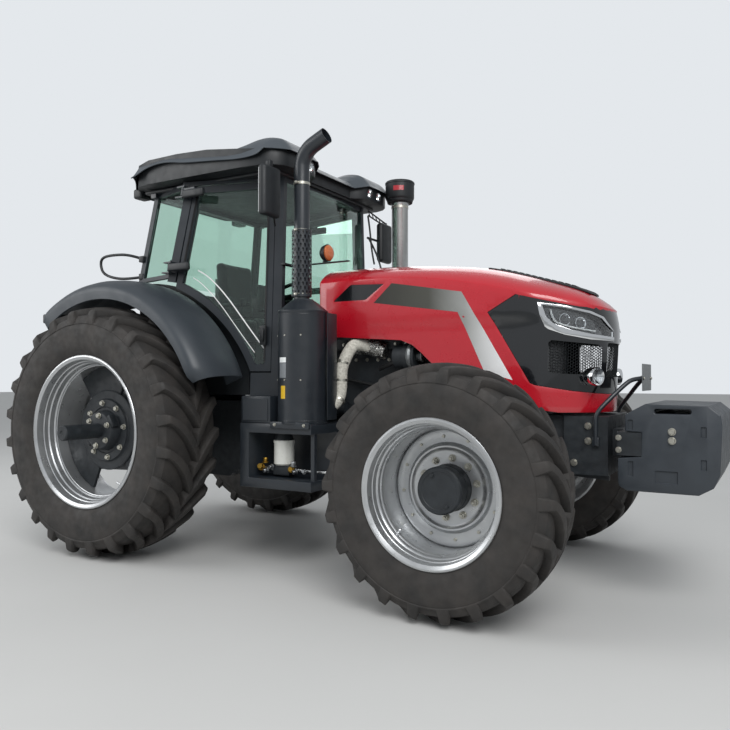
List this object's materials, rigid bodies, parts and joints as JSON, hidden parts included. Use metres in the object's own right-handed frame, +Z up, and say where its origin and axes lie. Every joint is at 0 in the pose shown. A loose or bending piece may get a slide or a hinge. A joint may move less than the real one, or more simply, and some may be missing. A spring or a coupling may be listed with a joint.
{
  "type": "farm tractor",
  "caption": "Four-wheel-drive farm tractor with a cab, tilting hood, steered front wheels, swinging doors, three-point linkage and front weights.",
  "frame": {"origin": "on the ground under the middle of the overall box", "axes": "+X forward, +Y to the driver's left, +Z up"},
  "size_m": [5.525, 2.87, 3.0287],
  "materials": {
    "amber_lens": "amber lens",
    "black_plastic": "grained moulding",
    "bright_steel": "machined",
    "cast_black": "painted casting",
    "gloss_black": "gloss moulding",
    "grey_plastic": "moulded shell",
    "heat_wrap": "glass-fibre wrap",
    "lamp_clear": "clear lens over a reflector",
    "painted_black": "satin enamel",
    "painted_red": "gloss enamel",
    "rim_silver": "silver enamel",
    "seat_cloth": "woven",
    "stainless": "brushed",
    "tyre_rubber": "moulded rubber",
    "window_glass": "green tinted safety glass"
  },
  "bodies": {
    "chassis": {"front_axle": "cast_black", "front_frame": "cast_black", "front_weights": "cast_black", "weight_carrier": "cast_black", "number_plate": "painted_black", "engine_block": "cast_black", "radiator": "painted_black", "transmission": "cast_black", "drawbar": "painted_black", "cab_frame": "painted_black", "cab_tub": "painted_black", "cab_roof": "grey_plastic", "cab_glass": "window_glass", "rear_fenders": "black_plastic", "seat_base": "painted_black", "seat_cushions": "seat_cloth", "steering_column": "black_plastic", "muffler": "painted_black", "exhaust_stack": "painted_black", "exhaust_pipe": "heat_wrap", "intake_stack": "stainless", "precleaner": "black_plastic", "mirrors": "black_plastic", "beacon": "amber_lens", "side_box": "painted_black", "fuel_tank": "painted_black"},
    "knuckle_left": {"knuckle_left": "cast_black"},
    "knuckle_right": {"knuckle_right": "cast_black"},
    "steering_rod": {"steering_rod": "bright_steel"},
    "wheel_front_left": {"tyre_front_left": "tyre_rubber", "rim_front_left": "rim_silver", "hub_front_left": "cast_black"},
    "wheel_front_right": {"tyre_front_right": "tyre_rubber", "rim_front_right": "rim_silver", "hub_front_right": "cast_black"},
    "wheel_rear_left": {"tyre_rear_left": "tyre_rubber", "rim_rear_left": "rim_silver", "hub_rear_left": "cast_black"},
    "wheel_rear_right": {"tyre_rear_right": "tyre_rubber", "rim_rear_right": "rim_silver", "hub_rear_right": "cast_black"},
    "hood": {"hood_shell": "painted_red", "nose_mask": "gloss_black", "front_lamps": "lamp_clear"},
    "door_left": {"door_frame_left": "black_plastic", "door_glass_left": "window_glass"},
    "door_right": {"door_frame_right": "black_plastic", "door_glass_right": "window_glass"},
    "steering_wheel": {"steering_wheel": "black_plastic"},
    "pto": {"pto_shaft": "bright_steel"},
    "lower_links": {"lower_links": "painted_black"},
    "lift_arms": {"lift_arms": "cast_black"},
    "lift_rods": {"lift_rods": "painted_black"},
    "top_link": {"top_link": "bright_steel"}
  },
  "joints": [
    {"name": "steer_left", "type": "hinge", "parent": "chassis", "child": "knuckle_left", "pos_m": [1.4215, 0.8, 0.7], "axis": [0, 0, 1], "range_deg": [-40, 40]},
    {"name": "steer_right", "type": "hinge", "parent": "chassis", "child": "knuckle_right", "pos_m": [1.4215, -0.8, 0.7], "axis": [0, 0, 1], "range_deg": [-40, 40]},
    {"name": "steering_rod_slide", "type": "slide", "parent": "chassis", "child": "steering_rod", "axis": [0, 1, 0], "range_m": [-0.125, 0.125]},
    {"name": "roll_front_left", "type": "hinge", "parent": "knuckle_left", "child": "wheel_front_left", "pos_m": [1.4215, 1.107, 0.7], "axis": [0, 1, 0], "continuous": true},
    {"name": "roll_front_right", "type": "hinge", "parent": "knuckle_right", "child": "wheel_front_right", "pos_m": [1.4215, -1.107, 0.7], "axis": [0, 1, 0], "continuous": true},
    {"name": "roll_rear_left", "type": "hinge", "parent": "chassis", "child": "wheel_rear_left", "pos_m": [-1.3625, 1.029, 0.923], "axis": [0, 1, 0], "continuous": true},
    {"name": "roll_rear_right", "type": "hinge", "parent": "chassis", "child": "wheel_rear_right", "pos_m": [-1.3625, -1.029, 0.923], "axis": [0, 1, 0], "continuous": true},
    {"name": "hood_tilt", "type": "hinge", "parent": "chassis", "child": "hood", "pos_m": [0.2775, 0, 2.06], "axis": [0, -1, 0], "range_deg": [0, 50]},
    {"name": "door_left_swing", "type": "hinge", "parent": "chassis", "child": "door_left", "pos_m": [-0.9105, 0.85276, 2.139], "axis": [0.1531, -0.0803, 0.9849], "range_deg": [0, 70]},
    {"name": "door_right_swing", "type": "hinge", "parent": "chassis", "child": "door_right", "pos_m": [-0.9105, -0.85276, 2.139], "axis": [-0.1531, -0.0803, -0.9849], "range_deg": [0, 70]},
    {"name": "steering_wheel_turn", "type": "hinge", "parent": "chassis", "child": "steering_wheel", "pos_m": [-0.4575, 0, 1.97], "axis": [-0.5299, 0, 0.848], "continuous": true},
    {"name": "pto_spin", "type": "hinge", "parent": "chassis", "child": "pto", "pos_m": [-1.6625, 0, 0.69], "axis": [1, 0, 0], "continuous": true},
    {"name": "lower_links_lift", "type": "hinge", "parent": "chassis", "child": "lower_links", "pos_m": [-1.6625, 0, 0.56], "axis": [0, 1, 0], "range_deg": [-15, 25]},
    {"name": "lift_arms_turn", "type": "hinge", "parent": "chassis", "child": "lift_arms", "pos_m": [-1.6525, 0, 1.19], "axis": [0, 1, 0], "range_deg": [-22, 35]},
    {"name": "lift_rods_swing", "type": "hinge", "parent": "lift_arms", "child": "lift_rods", "pos_m": [-2.0825, 0, 1.16], "axis": [0, 1, 0], "range_deg": [-36, 22]},
    {"name": "top_link_swing", "type": "hinge", "parent": "chassis", "child": "top_link", "pos_m": [-1.7125, 0, 1.06], "axis": [0, -1, 0], "range_deg": [0, 92]}
  ],
  "couplings": [
    {"joint": "steer_right", "follows": "steer_left", "ratio": 1},
    {"joint": "steering_rod_slide", "follows": "steer_left", "m_per_rad": -0.175},
    {"joint": "lift_arms_turn", "follows": "lower_links_lift", "ratio": 1.3451},
    {"joint": "lift_rods_swing", "follows": "lower_links_lift", "ratio": -1.391}
  ]
}
